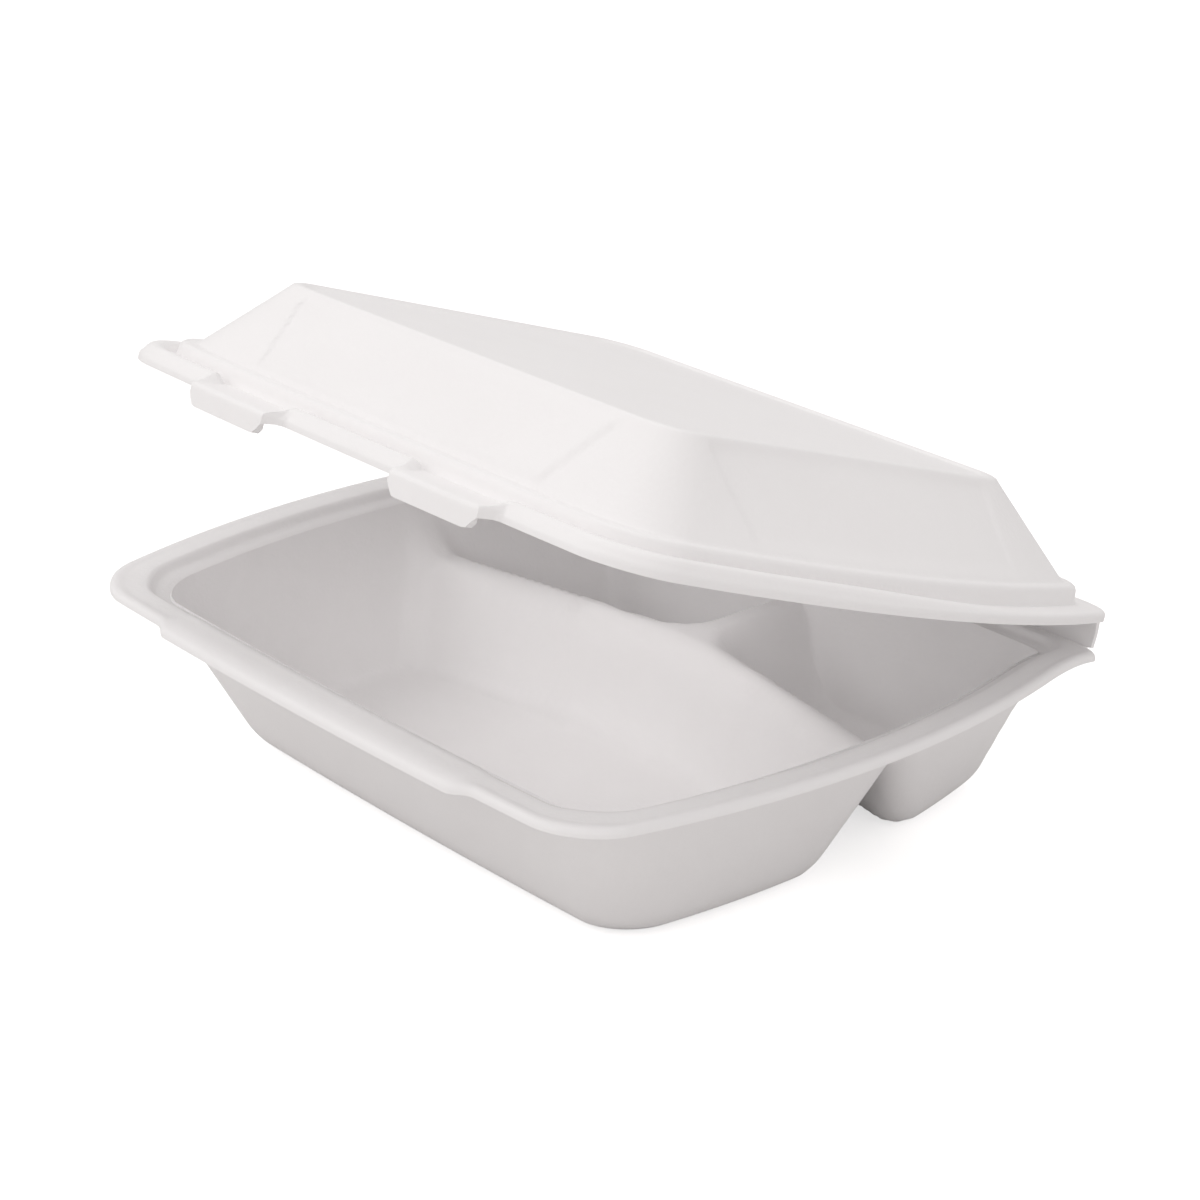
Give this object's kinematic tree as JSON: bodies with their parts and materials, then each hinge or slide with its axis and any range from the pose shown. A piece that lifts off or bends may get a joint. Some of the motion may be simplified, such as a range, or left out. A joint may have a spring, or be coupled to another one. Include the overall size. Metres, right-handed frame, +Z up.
{
  "type": "foam clamshell container",
  "caption": "Hinged foam take-away food box, lid ajar, with one large and two small compartments and a latching front edge",
  "frame": {"origin": "on the table, under the middle of the tray's rim", "axes": "+Z up, +Y from the latch edge to the hinge, X along the hinge; the box is the same on both sides of X = 0"},
  "size_m": [0.235, 0.2128, 0.1374],
  "materials": {
    "foam": "white polystyrene foam sheet with a fine grain and a soft satin skin",
    "pressed_foam": "white polystyrene foam pressed thin and smooth at the fold"
  },
  "bodies": {
    "tray": {"tray": "foam"},
    "hinge_strip": {"hinge_strip": "pressed_foam"},
    "lid": {"lid": "foam"}
  },
  "joints": [
    {"name": "tray_crease", "type": "hinge", "parent": "tray", "child": "hinge_strip", "pos_m": [0, 0.1041, 0.0424], "axis": [-1, 0, 0], "range_deg": [-9, 81]},
    {"name": "lid_crease", "type": "hinge", "parent": "hinge_strip", "child": "lid", "pos_m": [0, 0.10602, 0.05455], "axis": [-1, 0, 0], "range_deg": [-9, 81]}
  ]
}
